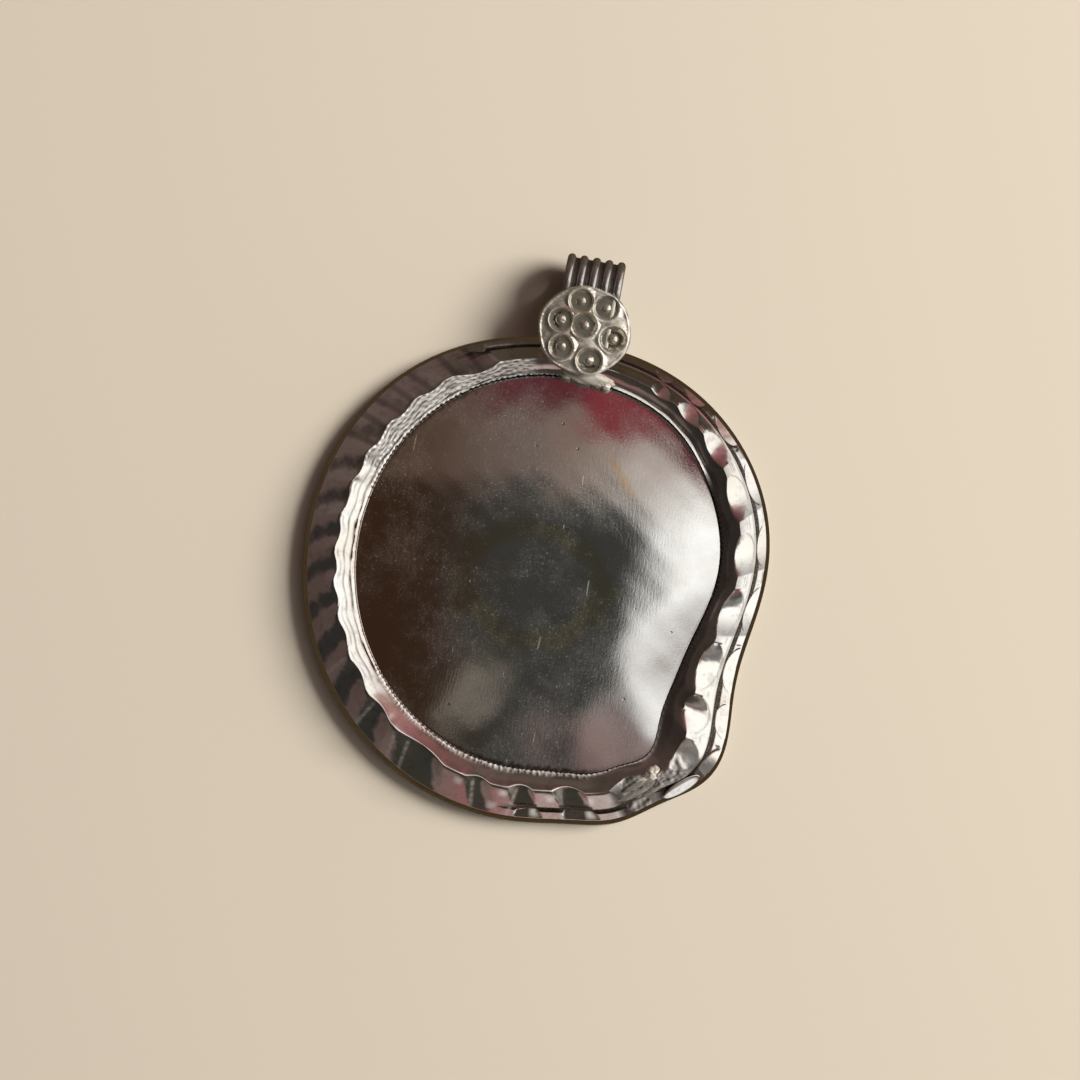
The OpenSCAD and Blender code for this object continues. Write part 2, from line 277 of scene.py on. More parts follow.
def mirror_plate_material():
    """Polished plate gone cloudy: wiped streaks, speckle, a few pits and scratches, haze and stains, and
    painted shadow along the teeth.
    """
    mm, finish, add, math_, plane, ramp, mix, noise = new_material("mirror_plate")

    def drawn_out(turn, scale_x, scale_y):
        """Places turned and scaled unevenly, so that a noise on them has long narrow marks."""
        values = {"Vector": mm, "Rotation": (0, 0, turn), "Scale": (scale_x, scale_y, 1.0)}
        return add("ShaderNodeMapping", values).outputs[0]

    cloud = noise(mm, 0.30, 5.0, 0.65)
    streak = noise(drawn_out(0.55, 1.0, 0.22), 7.5, 4.0, 0.68)
    speck = noise(mm, 9.0, 4.0, 0.7)
    pits = add("ShaderNodeTexVoronoi", {"Vector": mm, "Scale": 0.75, "Randomness": 1.0}, feature="F1")
    pit = ramp(pits.outputs["Distance"], 0.03, 0.075, 1.0, 0.0)
    lot = add("ShaderNodeSeparateColor", {0: pits.outputs["Color"]}).outputs[0]
    pit = math_("MULTIPLY", pit, math_("GREATER_THAN", lot, 0.55))
    scratch = ramp(noise(drawn_out(-0.25, 2.6, 0.16), 2.2, 1.0), 0.775, 0.785)
    xyz = add("ShaderNodeSeparateXYZ", {0: mm})
    x, y = xyz.outputs[0], xyz.outputs[1]
    # a yellow stain in a wavering ring round the middle, and a warmer tone at the left
    warp = math_("MULTIPLY", math_("SUBTRACT", noise(mm, 0.5, 4.0), 0.5), 2.2)
    ring = math_("SQRT", math_("ADD", math_("POWER", math_("MULTIPLY", math_("ADD", x, 0.4), 0.9), 2.0),
                               math_("POWER", math_("MULTIPLY", math_("ADD", y, 0.9), 1.1), 2.0)))
    ring = math_("ADD", ring, warp)
    stain = math_("MULTIPLY", ramp(ring, 2.6, 3.8), ramp(ring, 4.1, 5.0, 1.0, 0.0))
    warm_side = ramp(math_("ADD", x, warp), -9.0, -2.5, 1.0, 0.0)
    # a tan smear at the upper right, which lies at a slant: how far along it and how far across it
    along = math_("ABSOLUTE", plane(x, y, 0.642, -0.767, 2.59))
    across = math_("ABSOLUTE", plane(x, y, 0.767, 0.642, -7.42))
    across = math_("ADD", across, math_("MULTIPLY", warp, 0.12))
    smear = math_("MULTIPLY", ramp(across, 0.08, 0.50, 1.0, 0.0), ramp(along, 0.9, 1.9, 1.0, 0.0))
    tone = mix(ramp(cloud, 0.3, 0.7), (0.86, 0.85, 0.84, 1), (0.74, 0.73, 0.71, 1))
    tone = mix(math_("MULTIPLY", stain, 0.55), tone, (0.74, 0.64, 0.36, 1))
    tone = mix(math_("MULTIPLY", warm_side, 0.6), tone, (0.74, 0.55, 0.44, 1))
    tone = mix(math_("MULTIPLY", smear, 0.55), tone, (0.78, 0.60, 0.34, 1))
    tone = mix(math_("MULTIPLY", pit, 0.5), tone, (0.35, 0.31, 0.26, 1))
    # painted shadow along the teeth darkens the plate to this colour
    tone = mix(add("ShaderNodeAttribute", attribute_name="dirt_and_shade").outputs["Fac"], tone, (0.10, 0.08, 0.06, 1))
    roughness = ramp(cloud, 0.3, 0.75, 0.03, 0.08)
    roughness = math_("ADD", roughness, math_("MULTIPLY", ramp(speck, 0.5, 0.8), 0.05))
    height = math_("ADD", math_("MULTIPLY", streak, 0.27), math_("MULTIPLY", speck, 0.15))
    height = math_("SUBTRACT", height, math_("MULTIPLY", pit, 0.9))
    height = math_("SUBTRACT", height, math_("MULTIPLY", scratch, 0.25))
    # dust and haze scatter a little light
    patches = math_("MULTIPLY", ramp(cloud, 0.42, 0.66), ramp(streak, 0.35, 0.65, 0.35, 1.0))
    dust = math_("MULTIPLY", ramp(noise(mm, 7.0, 4.0, 0.85), 0.57, 0.68), ramp(cloud, 0.36, 0.58))
    haze = math_("ADD", math_("MULTIPLY", patches, 0.050), math_("MULTIPLY", dust, 0.22))
    haze = math_("ADD", haze, math_("MULTIPLY", scratch, 0.12))
    return finish(tone, roughness, height, math_("SUBTRACT", 1.0, haze))


SILVER = silver("worked_silver", (0.88, 0.86, 0.83), 0.045, 0.10, 0.07)
FROSTED = silver("cast_silver", (0.85, 0.82, 0.71), 0.07, 0.12, 0.20, 0.03, 0.90)
SOLDER = silver("solder", (0.88, 0.86, 0.77), 0.20, 0.38, 1.0, 0.30, 0.50)
SHEET = silver("sheet_silver", (0.80, 0.78, 0.74), 0.16, 0.30, 0.30, 0.05)
MIRROR = mirror_plate_material()


# The strip: fluted band, crest, lip and teeth

def run_end(i):
    """Clock angle where the run of flutes with this number ends."""
    return RUNS[i + 1][0] if i + 1 < len(RUNS) else RUNS[0][0] + 360


def flute_columns(per_tooth=6):
    """Each column's clock angle and place in a tooth, then where each flute or gap starts and which it is."""
    rows, ridges = [], []
    for i, (start, flutes) in enumerate(RUNS):
        wide = (run_end(i) - start) / max(flutes, 1)
        cuts = 2 * round(wide / (2 * TOOTH_PITCH)) * per_tooth
        for f in range(max(flutes, 1)):
            ridges.append((start + f * wide, flutes > 0))
            rows += [(start + (f + c / cuts) * wide, (c % per_tooth) / per_tooth) for c in range(cuts)]
    return np.array(rows).T, np.array(ridges + [(RUNS[0][0] + 360, False)]).T


(CLOCK, TOOTH), (RIDGE_AT, IS_FLUTE) = flute_columns()
PICTURE_CLOCK = (CLOCK + LEAN) % 360       # clock angle from the top of the picture
TIP = 1 - np.abs(2 * TOOTH - 1)            # 0 in a gap between teeth, 1 on a tip

# Parts of the band, 1 in them and 0 outside, by the clock angle in the picture
ONE_ROW = zone(PICTURE_CLOCK, 183, 192, 338, 346)      # one row of scoops; elsewhere two and a groove
PADS = smooth(PICTURE_CLOCK, 156, 160)                 # smooth pads between the scoops, from the joint on
BESIDE = zone(PICTURE_CLOCK, 56, 62, 116, 130)         # painted shade: dark lines run between the scoops at the right
CORNER = np.exp(-((PICTURE_CLOCK - 133) / 6) ** 2)     # the scoops bite deepest
# Parts of the lip
TOP_EDGE = zone(PICTURE_CLOCK, 18, 24, 56, 68)         # its edge is rolled beside the rosette, with painted light on it
SHADED = zone(PICTURE_CLOCK, 16, 40, 128, 150)         # painted shade darkens the inner part of the lip at the right
BOTTOM_LIP = zone(PICTURE_CLOCK, 163, 172, 226, 238)   # a pale frayed fringe lies at the bottom
STRAND = zone(PICTURE_CLOCK, 234, 248, 292, 306)       # the teeth are worn to a smooth strand at the left
LINED = zone(PICTURE_CLOCK, 228, 244, 350, 359)        # drawn lines run along it
BEADED = zone(PICTURE_CLOCK, 296, 310, 356, 360)       # beads and blots lie between the lines
# How deep the worn teeth still are: least at the right and in the strand
TOOTH_DEEP = TOOTH_L * (1 - 0.8 * STRAND) * (0.35 - 0.27 * zone(PICTURE_CLOCK, 14, 26, 150, 165))
TOOTH_DEEP = TOOTH_DEEP * (0.75 + 0.5 * waves(CLOCK * LIP_ARC, np.zeros_like(CLOCK), 0.8, 4))
# Half of a scoop's length as a share of half a flute
SCOOP_HALF = np.interp(PICTURE_CLOCK, [0, 104, 112, 135, 158, 204, 216, 345, 360],
                       [0.80, 0.80, 0.92, 0.92, 0.60, 0.62, 0.86, 0.86, 0.80])
# How far the scoops slant on their way down the band, in degrees
SLANT = 2.6 + 2.4 * np.exp(-((PICTURE_CLOCK - 135) / 14) ** 2)
RISE = CREST_H - FOOT_H
BAND_SLOPE = math.atan2(RISE, BAND_W)
# Where the upper scoops end, then where the bead, the groove and the lower scoops lie, as shares of the way
# down the band
SCOOP_END, BEAD_AT, GROOVE_AT, LOW_SCOOP = 0.50, 0.565, 0.665, 0.73
LOW_CUT = 0.42                             # how steeply the lower scoops cut in
BEAD_PITCH = 1.7                           # degrees

# Painted highlights at the ends of the pads: clock angle in the picture and share of the way down the band.
# Then painted highlight streaks and dark streaks across the band: clock angle and slant
PAD_HIGHLIGHTS = [(168.0, 0.28), (168.2, 0.82), (181.4, 0.82), (177.6, 0.26), (189.6, 0.20), (192.0, 0.72),
            (201.5, 0.25)]
HIGHLIGHT_STREAKS = [(174.8, 0.0), (187.0, -2.0), (197.3, 1.5), (217.0, 2.2), (221.0, 2.6), (231.2, 1.2),
                (245.5, 1.6)]
DARK_STREAKS = [(307.0, 1.5), (312.5, 1.0), (317.8, 2.5), (322.5, 2.0), (328.0, 3.0), (336.0, 2.4),
                (342.5, 3.0)]

# Rows of points across the strip: on the foot a distance inside its edge, a height and the dirt, then shares
# of the way down the band and of the way from the crest to the teeth
FOOT_ROWS = [(-FOOT_EDGE + 0.03, 0.0, 0.0), (-FOOT_EDGE, 0.05, 0.0), (-FOOT_EDGE, 0.20, 0.1),
             (-0.17, 0.36, 0.1), (-0.07, 0.52, 0.2), (0.0, 0.66, 0.5)]
BAND_ROWS = [1.0, *np.linspace(0.975, 0.10, 30), 0.075, 0.05, 0.03, 0.014, 0.0]
LIP_ROWS = [0.02, 0.04, 0.07, 0.11, 0.17, 0.24, 0.30, 0.34, 0.38, 0.46, 0.54, 0.61, 0.66, 0.71, 0.77, 0.83,
            0.88, 0.94, 1.0]
# Hidden rows, from under the teeth round the collar and its ledge to the foot
LEDGE_X = DISC_INSET + 0.35
HIDDEN_ROWS = [(COLLAR_X, TEETH_Z + 0.02, 0.8), (COLLAR_X, DISC_Z - SEAM, 0.8), (LEDGE_X, DISC_Z - SEAM, 0.6),
               (LEDGE_X, BACK_T + SEAM, 0.6), (STRIP_T, BACK_T + SEAM, 0.6), (STRIP_T, 0.03, 0.6),
               (STRIP_T - 0.03, 0.0, 0.4)]


def in_flute(clock):
    """Place in the flute at a clock angle, -1 and 1 on its ridges, with the scoop's depth in millimetres."""
    c = (clock - RUNS[0][0]) % 360 + RUNS[0][0]
    k = np.clip(np.searchsorted(RIDGE_AT, c, side="right") - 1, 0, len(RIDGE_AT) - 2)
    wide = RIDGE_AT[k + 1] - RIDGE_AT[k]
    s = 2 * (c - RIDGE_AT[k]) / wide - 1
    return s, np.where(IS_FLUTE[k] > 0, FLUTE_DEPTH * np.minimum(wide / FLUTE_CLOCK, 1.5), 0.0)


def lip_z(x):
    """Height of the lip at a distance inside the crest."""
    return CREST_H - 0.51 * x - 0.17 * x * x


def scoop(clock):
    """How full the scoop is at a clock angle, 0 outside it, and how far it moves the crest in."""
    s, depth = in_flute(clock)
    full = np.clip(1 - (s / SCOOP_HALF) ** 2, 0, 1) * (depth > 0)
    return full, (0.85 - 0.17 * ONE_ROW + 0.9 * CORNER) * depth * full ** (1 + 0.5 * ONE_ROW)


def crest_z(clock):
    """Height of the crest at each clock angle. On the one-row side each scoop is flattest near its end."""
    here, before = scoop(clock)[1], scoop(clock - 1.5)[1]
    return lip_z(here) + 0.5 * ONE_ROW * (lip_z(before) - lip_z(here))


def rounding(distance):
    """How far the crest's rounding lowers a point at a distance from it."""
    return 0.035 * np.exp(-distance / 0.07)


def joint(f):
    """Where the soldered ends of the strip are frosty and crumbly, a share f of the way down the band."""
    shift = 8 * smooth(f, 0.5, 0.7)
    return zone(PICTURE_CLOCK, 142 + shift, 145 + shift, 158, 161.5)


def streaks(f, table, half):
    """How much of the nearest streak of a table each column has, a share f of the way down the band."""
    return np.max([hump(PICTURE_CLOCK + slant * (f - 0.5), clock, half) for clock, slant in table], axis=0)


def band_row(f):
    """One row of the band, a share f of the way down from the crest: its points, its soiling and painted
    shade, and its wear and painted highlights.
    """
    here = CLOCK + SLANT * f
    full, crest_in = scoop(here)
    bottom = PADS * (1 - ONE_ROW)
    full = np.clip(full * (1 + 1.6 * bottom), 0, 1)
    unscooped = (1 - smooth(full, 0.0, 0.12)) * (1 - PADS)
    # the upper scoops are cut from the crest down to their ends
    end = ONE_ROW + (1 - ONE_ROW) * SCOOP_END * np.sqrt(full)
    up = np.clip(1 - f / np.maximum(end, 1e-3), 0, 1)
    end_in, end_z = BAND_W * (1 - end), CREST_H - RISE * end
    base = BAND_W * (1 - f)
    inset = np.where(f < end, end_in + (BAND_W + crest_in - end_in) * up, base)
    z = np.where(f < end, end_z + (crest_z(here) - end_z) * up, CREST_H - RISE * f)
    # the lower scoops cut in from the foot and end in a step at the groove
    start = 1 - (1 - LOW_SCOOP) * np.sqrt(np.clip(full * 1.4 - 0.4, 0, 1)) * (1 - ONE_ROW)
    step = (1 - start) * np.clip(1 - (start - f) / 0.07, 0, 1)
    inset = inset + LOW_CUT * BAND_W * np.where(f > start, 1 - f, step)
    # a bead, two faint ribs and the groove, then the unevenness of worked metal and the crumbs at the joint
    lift = 0.045 * hump(f, BEAD_AT, 0.06) * (1 - PADS) - 0.07 * hump(f, GROOVE_AT, 0.07)
    lift = (lift + 0.03 * (hump(f, 0.20, 0.12) + hump(f, 0.86, 0.12)) * unscooped) * (1 - ONE_ROW)
    along, down = CLOCK * BAND_ARC, np.full_like(CLOCK, f * 2.0)
    crumbs = joint(f)
    lift = lift + 0.004 * waves(along, down, 1.1, 5) + 0.001 * waves(along, down, 0.45, 6)
    lift = lift + crumbs * (0.020 * waves(along, down, 0.7, 7) + 0.012 * waves(along, down, 0.3, 8))
    inset = inset - lift * math.sin(BAND_SLOPE)
    z = z + lift * math.cos(BAND_SLOPE) - rounding(f * BAND_W)
    points = polar(CLOCK, rim_r(CLOCK, np.full_like(CLOCK, base)) + base - inset, z)
    # dirt in the groove; painted shade round the scoops, between them, at their clockwise ends and between
    # the pads
    plain = unscooped * (1.0 if f < SCOOP_END + 0.1 else 0.4)
    in_groove = min(2.6 * hump(f, GROOVE_AT, 0.09), 1) + 0.3 * plain * hump(f, 0.38, 0.04)
    # painted shade: dark lines round the scoops' ends
    outline = hump(f, end + 0.012, 0.028) * (full > 0.02)
    outline = outline + 0.8 * hump(f, start - 0.03, 0.035) * (start < 0.97)
    painted_shade_beside = BESIDE * (0.50 * hump(f, 0.535, 0.03) + 0.38 * plain * (1 - smooth(f, 0.02, 0.30)))
    # painted shade: brown towards each scoop's clockwise end at the right
    brown = smooth(in_flute(here)[0], 0.0, 0.8) * smooth(full, 0.02, 0.12)
    brown = brown * zone(PICTURE_CLOCK, 58, 64, 106, 122) * (0.46 + 0.16 * smooth(PICTURE_CLOCK, 64, 72))
    # painted shade: dark between the pads at the bottom
    between = 0.9 * bottom * smooth(full, 0.1, 0.6) * (abs(f - 0.62) < 0.13)
    dirt_and_shade = np.max([in_groove, (0.55 - 0.4 * bottom) * outline, painted_shade_beside, brown, between], axis=0)
    dirt_and_shade = dirt_and_shade * (1 - ONE_ROW)
    # stains at the joint and a line past it; darker round the smooth lobe at the strip's end
    mottle = waves(along, down, 0.5, 9)
    stain = crumbs * (0.68 + 0.40 * mottle) + 0.8 * hump(PICTURE_CLOCK + 1.5 * f, 161.6, 1.9)
    stain = np.where((PICTURE_CLOCK > 141) & (PICTURE_CLOCK < 154) & (f > 0.58), 0.8, stain)
    stain = stain + 0.42 * streaks(f, DARK_STREAKS, 1.2)
    # painted highlights: the ends of the pads and the highlight streaks
    ends = [hump(PICTURE_CLOCK, clock, 1.5) * hump(f, place, 0.17) for clock, place in PAD_HIGHLIGHTS]
    highlight_streak = 0.35 * hump(f, 0.76, 0.09) * hump(PICTURE_CLOCK, 351, 6)
    highlight_streak = np.maximum(0.38 * streaks(f, HIGHLIGHT_STREAKS, 0.65), highlight_streak)
    wear_and_highlight = np.max([*ends, highlight_streak * (0.8 + 0.4 * mottle)], axis=0) * smooth(f, 0.02, 0.2)
    return points, np.clip(dirt_and_shade + stain, 0, 1), np.clip(0.5 * crumbs + wear_and_highlight, 0, 1)


def lip_row(g):
    """One row of the lip, a share g of the way from the crest to the teeth: its points, its soiling and
    painted shade, and its wear and painted light.
    """
    crest_in = scoop(CLOCK)[1]
    x = crest_in + (LIP_W - crest_in) * g
    along, across = CLOCK * LIP_ARC, np.full_like(CLOCK, g * 1.6)
    sway, fade = waves(along, along * 0, 3.2, 13), waves(along, along * 0, 1.5, 15)
    fringe, blots = waves(along, across * 0.3, 0.25, 14), waves(along * 0.6, across * 1.6, 0.45, 12)
    # drawn lines that waver and fade, and beads
    line = 0.9 * hump(g, 0.44, 0.05) + 1.1 * hump(g, 0.77, 0.05) * smooth(sway, -0.6, 0.3)
    line = (line + 1.3 * hump(g, 0.83, 0.05) * smooth(-sway, -0.9, 0.0)) * (0.75 + 0.35 * fade)
    line = line + 0.45 * hump(g, 0.17, 0.05) * smooth(fade, 0.0, 0.8)
    line = line + 0.45 * hump(g, 0.24, 0.05) * smooth(sway, 0.0, 0.8)
    beads = np.sin(np.radians(CLOCK * 360 / BEAD_PITCH)) * (hump(g, 0.08, 0.09) + hump(g, 0.72, 0.09))
    z = lip_z(x) - rounding(g * LIP_W) - 0.060 * line * LINED + 0.016 * beads * BEADED
    z = z + (crest_z(CLOCK) - lip_z(crest_in)) * (1 - g) ** 2
    # the rolled edge beside the rosette, the ribs that run into the teeth, and the unevenness of worked metal
    z = z + 0.27 * TOP_EDGE * np.clip((g - 0.80) / 0.20, 0, 1)
    ribs = (TIP - 0.5) * (1 - SHADED) * (1 - STRAND) * (1 - 0.5 * BOTTOM_LIP)
    z = z + 0.009 * ribs * smooth(g, 0.84, 0.95) + 0.004 * waves(along, across, 1.3, 8)
    drawn = 0.012 * waves(along * 0.5, across * 3.0, 1.0, 9) + 0.004 * waves(along, across * 6.0, 1.0, 10)
    z = z + drawn * LINED
    x = x + (TIP - 1) * TOOTH_DEEP * smooth(g, 0.86, 1.0)
    points = polar(CLOCK, rim_r(CLOCK, np.full_like(CLOCK, BAND_W + LIP_W * g)) + LIP_W * g - x, z)
    # dirt between the teeth, in the lines and in blots, painted shade on the inner part at the right; none on
    # the rolled edge
    lit_rolled_edge = TOP_EDGE * smooth(g, 0.78, 0.86)
    dirt_and_shade = 0.35 * smooth(g, 0.86, 0.97) * (1 - TIP) * (1 - STRAND) * (1 + 0.9 * fringe) + line * LINED
    dirt_and_shade = dirt_and_shade + 0.65 * smooth(g, 0.45, 0.62) * SHADED + 0.85 * smooth(blots, 0.15, 0.75) * BEADED
    dirt_and_shade = dirt_and_shade * (1 - lit_rolled_edge)
    # wear on the teeth, painted light on the rolled edge, wear and painted light between the blots, a painted
    # highlight along the crest at the bottom, and wear in the fringe
    teeth = (0.9 - 0.75 * STRAND - 0.35 * BOTTOM_LIP) * (1 - SHADED) * (0.75 + 0.45 * fringe)
    wear_and_highlight = teeth * smooth(g, 0.86, 0.93) + lit_rolled_edge + (0.42 - 0.5 * np.minimum(blots, 0)) * BEADED
    # painted highlight: a bright line along the crest at the bottom
    crest = (0.70 + 0.25 * fade) * (1 - smooth(g, 0.03, 0.075))
    wear_and_highlight = wear_and_highlight + crest * zone(PICTURE_CLOCK, 163, 172, 240, 250)
    wear_and_highlight = wear_and_highlight + (0.24 + 0.30 * fringe) * smooth(g, 0.66, 0.86) * BOTTOM_LIP
    return points, np.clip(dirt_and_shade, 0, 1), np.clip(wear_and_highlight, 0, 1)


def teeth_row():
    """The underside of the teeth's tips: painted shade under them, and painted light next to the rosette."""
    radius = rim_r(CLOCK, np.full_like(CLOCK, BAND_W + LIP_W)) + (1 - TIP) * TOOTH_DEEP + 0.03
    return polar(CLOCK, radius, TEETH_Z), 0.6 * (1 - TOP_EDGE), TOP_EDGE


def plain_row(inset, z, dirt_and_shade):
    """A row at one distance inside the foot and one height."""
    flat = np.zeros_like(CLOCK)
    return polar(CLOCK, rim_r(CLOCK, flat + inset), z), flat + dirt_and_shade, flat


def strip():
    rows = [plain_row(*row) for row in FOOT_ROWS] + [band_row(f) for f in BAND_ROWS]
    rows += [lip_row(g) for g in LIP_ROWS] + [teeth_row()] + [plain_row(*row) for row in HIDDEN_ROWS]
    verts, dirt_and_shade, wear_and_highlight = (np.concatenate([row[i] for row in rows]) for i in range(3))
    faces = grid_faces(len(rows), len(CLOCK), wrap_rows=True, flip=True)
    piece("strip", verts, faces, SILVER, dirt_and_shade, wear_and_highlight)


strip()


# The mirror plate

DOME_AT, DOME_HALF = (-0.30, -0.25), (12.35, 13.1)


def dome_drop(x, y, share):
    """Drop of the dome as a share of its rise: even ovals in the middle, the plate's outline at its edge."""
    turn = math.radians(OVAL_CLOCK)
    x, y = x - DOME_AT[0], y - DOME_AT[1]
    u = x * math.cos(turn) - y * math.sin(turn)
    v = x * math.sin(turn) + y * math.cos(turn)
    own = smooth(share, 0.45, 1.0)
    return ((u / DOME_HALF[0]) ** 2 + (v / DOME_HALF[1]) ** 2) * (1 - own) + share * share * own


def mirror_plate():
    cols = np.arange(0, 360, 1.0)
    edge = rim_r(cols, np.full_like(cols, DISC_INSET))
    # painted shadow lies along the teeth at the bottom and the top left
    picture = (cols + LEAN) % 360
    shadow_zone = zone(picture, 160, 168, 196, 214) + 0.7 * zone(picture, 296, 308, 336, 350)
    rows, painted_shadow = [], []
    for share in [0.004, *np.linspace(0.015, 0.92, 74), *np.linspace(0.93, 1.0, 12)]:
        p = polar(cols, share * edge, RIM_Z)
        x, y = p[:, 0], p[:, 1]
        away = (1 - share) * edge
        p[:, 2] += DISC_RISE * (1 - dome_drop(x, y, share))
        p[:, 2] += 0.010 * waves(x, y, 6.5, 21) * smooth(1 - share, 0.0, 0.12)
        p[:, 2] += 0.003 * waves(x, y, 2.2, 22) * smooth(1 - share, 0.0, 0.10)
        p[:, 2] -= 0.40 * np.clip(0.62 - away, 0, 1) ** 2      # the edge curls down under the teeth
        rows.append(p)
        painted_shadow.append(0.8 * shadow_zone * (1 - smooth(away + 0.12 * waves(x, y, 0.5, 23), 0.58, 0.80)))
    top = rows[0][:, 2].mean()
    for share in (1.0, 0.9, 0.6, 0.3):
        rows.append(polar(cols, share * edge, DISC_Z + DISC_RISE * (1 - share * share)))
        painted_shadow.append(np.zeros_like(cols))
    verts = np.concatenate(rows + [[[0, 0, top], [0, 0, DISC_Z + DISC_RISE]]])
    piece("mirror_plate", verts, capped_faces(len(rows), len(cols)), MIRROR, np.concatenate(painted_shadow + [[0, 0]]),
          replaces="mirror_disc")


mirror_plate()


# The back plate, slightly dished and dented by wear, let into the foot

def back_plate():
    cols = np.arange(0, 360, 1.0)
    edge = rim_r(cols, np.full_like(cols, STRIP_T + SEAM))
    rows = [polar(cols, edge, BACK_T)]
    for share in [1.0, 0.997, 0.99, *np.linspace(0.975, 0.02, 60)]:
        p = polar(cols, share * edge, 0.0)
        dents = 0.022 * (1 + waves(p[:, 0], p[:, 1], 8.0, 31)) * smooth(1 - share, 0, 0.2)
        p[:, 2] += np.clip(0.02 * smooth(share, 0.988, 1.0) + dents, 0.0, 0.1)
        rows.append(p)
    verts = np.concatenate(rows + [[[0, 0, BACK_T], [0, 0, 0.02]]])
    dirt_and_shade = np.zeros(len(verts))
    dirt_and_shade[:2 * len(cols)] = 0.7
    dirt_and_shade[2 * len(cols):3 * len(cols)] = 0.35
    piece("back_sheet", verts, capped_faces(len(rows), len(cols)), SHEET, dirt_and_shade, sharp=35,
          replaces="back_plate")


back_plate()


# The rosette, its tongue, the bail and the root

FOOT_Y = float(rim_r(0.0, 0.0))
SEAT_Y = float(rim_r(0.0, BAND_W))
SEAT_Z = CREST_H - 0.05


def tilted(p):
    """From the rosette's own plane to the body: turned about the seat, up towards the bail."""
    sin, cos = math.sin(math.radians(ROSETTE_TILT)), math.cos(math.radians(ROSETTE_TILT))
    x, y, z = p[..., 0], p[..., 1], p[..., 2]
    return np.stack([x, SEAT_Y + y * cos - z * sin, SEAT_Z + y * sin + z * cos], -1)


# The rosette's cells: x and y from its middle, size of the ring
CELLS = [(-0.06, 0.32, 1.00), (-0.52, 1.78, 0.95), (1.11, 1.62, 1.00), (1.87, -0.24, 1.05),
         (0.65, -1.80, 1.02), (-1.24, -1.26, 0.95), (-1.55, 0.42, 0.95)]
ROSETTE_HALF_W, ROSETTE_HALF_L = 2.96, 2.84
RING_R, WIRE, GRAIN = 0.84, 0.17, 0.40         # radius and width of a ring, radius of the grain in it
WALL_H, BOWL_DEEP = 0.14, 0.35                 # how far the rings stand out and the bowls go in


def rosette_height(x, y, share):
    """Height of the rosette's face with its rings, pits and grains, then the soiling there and the wear, with
    painted light that grows towards the right.
    """
    h = PETAL_T + 0.13 * (1 - (x * x + y * y) / 8.6) + 0.05 * np.exp(-((share - 0.955) / 0.028) ** 2)
    dirt_and_shade, worn, near = np.zeros_like(h), np.ones_like(h), np.full_like(h, 9.0)
    for cx, cy, size in CELLS:
        d = np.hypot(x - cx, y - cy)
        r = RING_R * size
        near = np.minimum(near, d / r)
        h = h + np.sqrt(np.maximum(GRAIN ** 2 - d ** 2, 0)) * 0.95
        dirt_and_shade = np.maximum(dirt_and_shade, np.exp(-((d - GRAIN - 0.04) / 0.10) ** 2))
        worn = np.minimum(worn, smooth(d, r - 0.12, r + 0.02))
    # neighbouring rings share a wall
    h = h + WALL_H * np.exp(-((near - 1) * RING_R / WIRE) ** 2) - BOWL_DEEP * np.clip(1 - near ** 2, 0, 1)
    h = h + 0.018 * waves(x, y, 0.9, 41) + 0.007 * waves(x, y, 0.3, 42)
    # painted light: the wear grows towards the right, where the light comes from
    worn = worn * (0.14 + 0.40 * smooth(x, -1.6, 2.2)) * (0.8 + 0.5 * waves(x, y, 0.8, 43))
    return h - 0.30 * smooth(share, 0.965, 1.0) ** 2, 0.75 * dirt_and_shade, np.clip(worn, 0, 1)


def rosette():
    turn = np.linspace(0, 2 * np.pi, 420, endpoint=False)
    dx, dy = np.sin(turn), np.cos(turn)
    outline = 1 / np.hypot(dx / ROSETTE_HALF_W, dy / ROSETTE_HALF_L) + 0.035 * np.cos(6 * (turn + 0.3))
    rows, dirt_and_shade, worn = [], [], []
    for share in [*np.linspace(0.012, 0.92, 74), *np.linspace(0.93, 1.0, 12)]:
        x, y = outline * share * dx, outline * share * dy
        z, d, w = rosette_height(x, y, share)
        rows.append(np.stack([x, y, z], -1))
        dirt_and_shade.append(d)
        worn.append(w)
    # the plain underside: share of the outline, height, dirt
    for share, z, d in ((1.0, 0.02, 0.5), (0.97, 0.0, 0.4)):
        rows.append(np.stack([outline * share * dx, outline * share * dy, np.full_like(dx, z)], -1))
        dirt_and_shade.append(np.full_like(dx, d))
        worn.append(np.zeros_like(dx))
    top = float(rosette_height(np.zeros(1), np.zeros(1), 0.0)[0][0])
    verts = np.concatenate(rows + [[[0, 0, top], [0, 0, 0]]])
    verts[:, 1] += ROSETTE_Y - SEAT_Y
    piece("rosette", tilted(verts), capped_faces(len(rows), len(turn)), FROSTED,
          np.concatenate(dirt_and_shade + [[0.0, 0.4]]), np.concatenate(worn + [[0.0, 0.0]]))


rosette()

RIB_R = 0.26


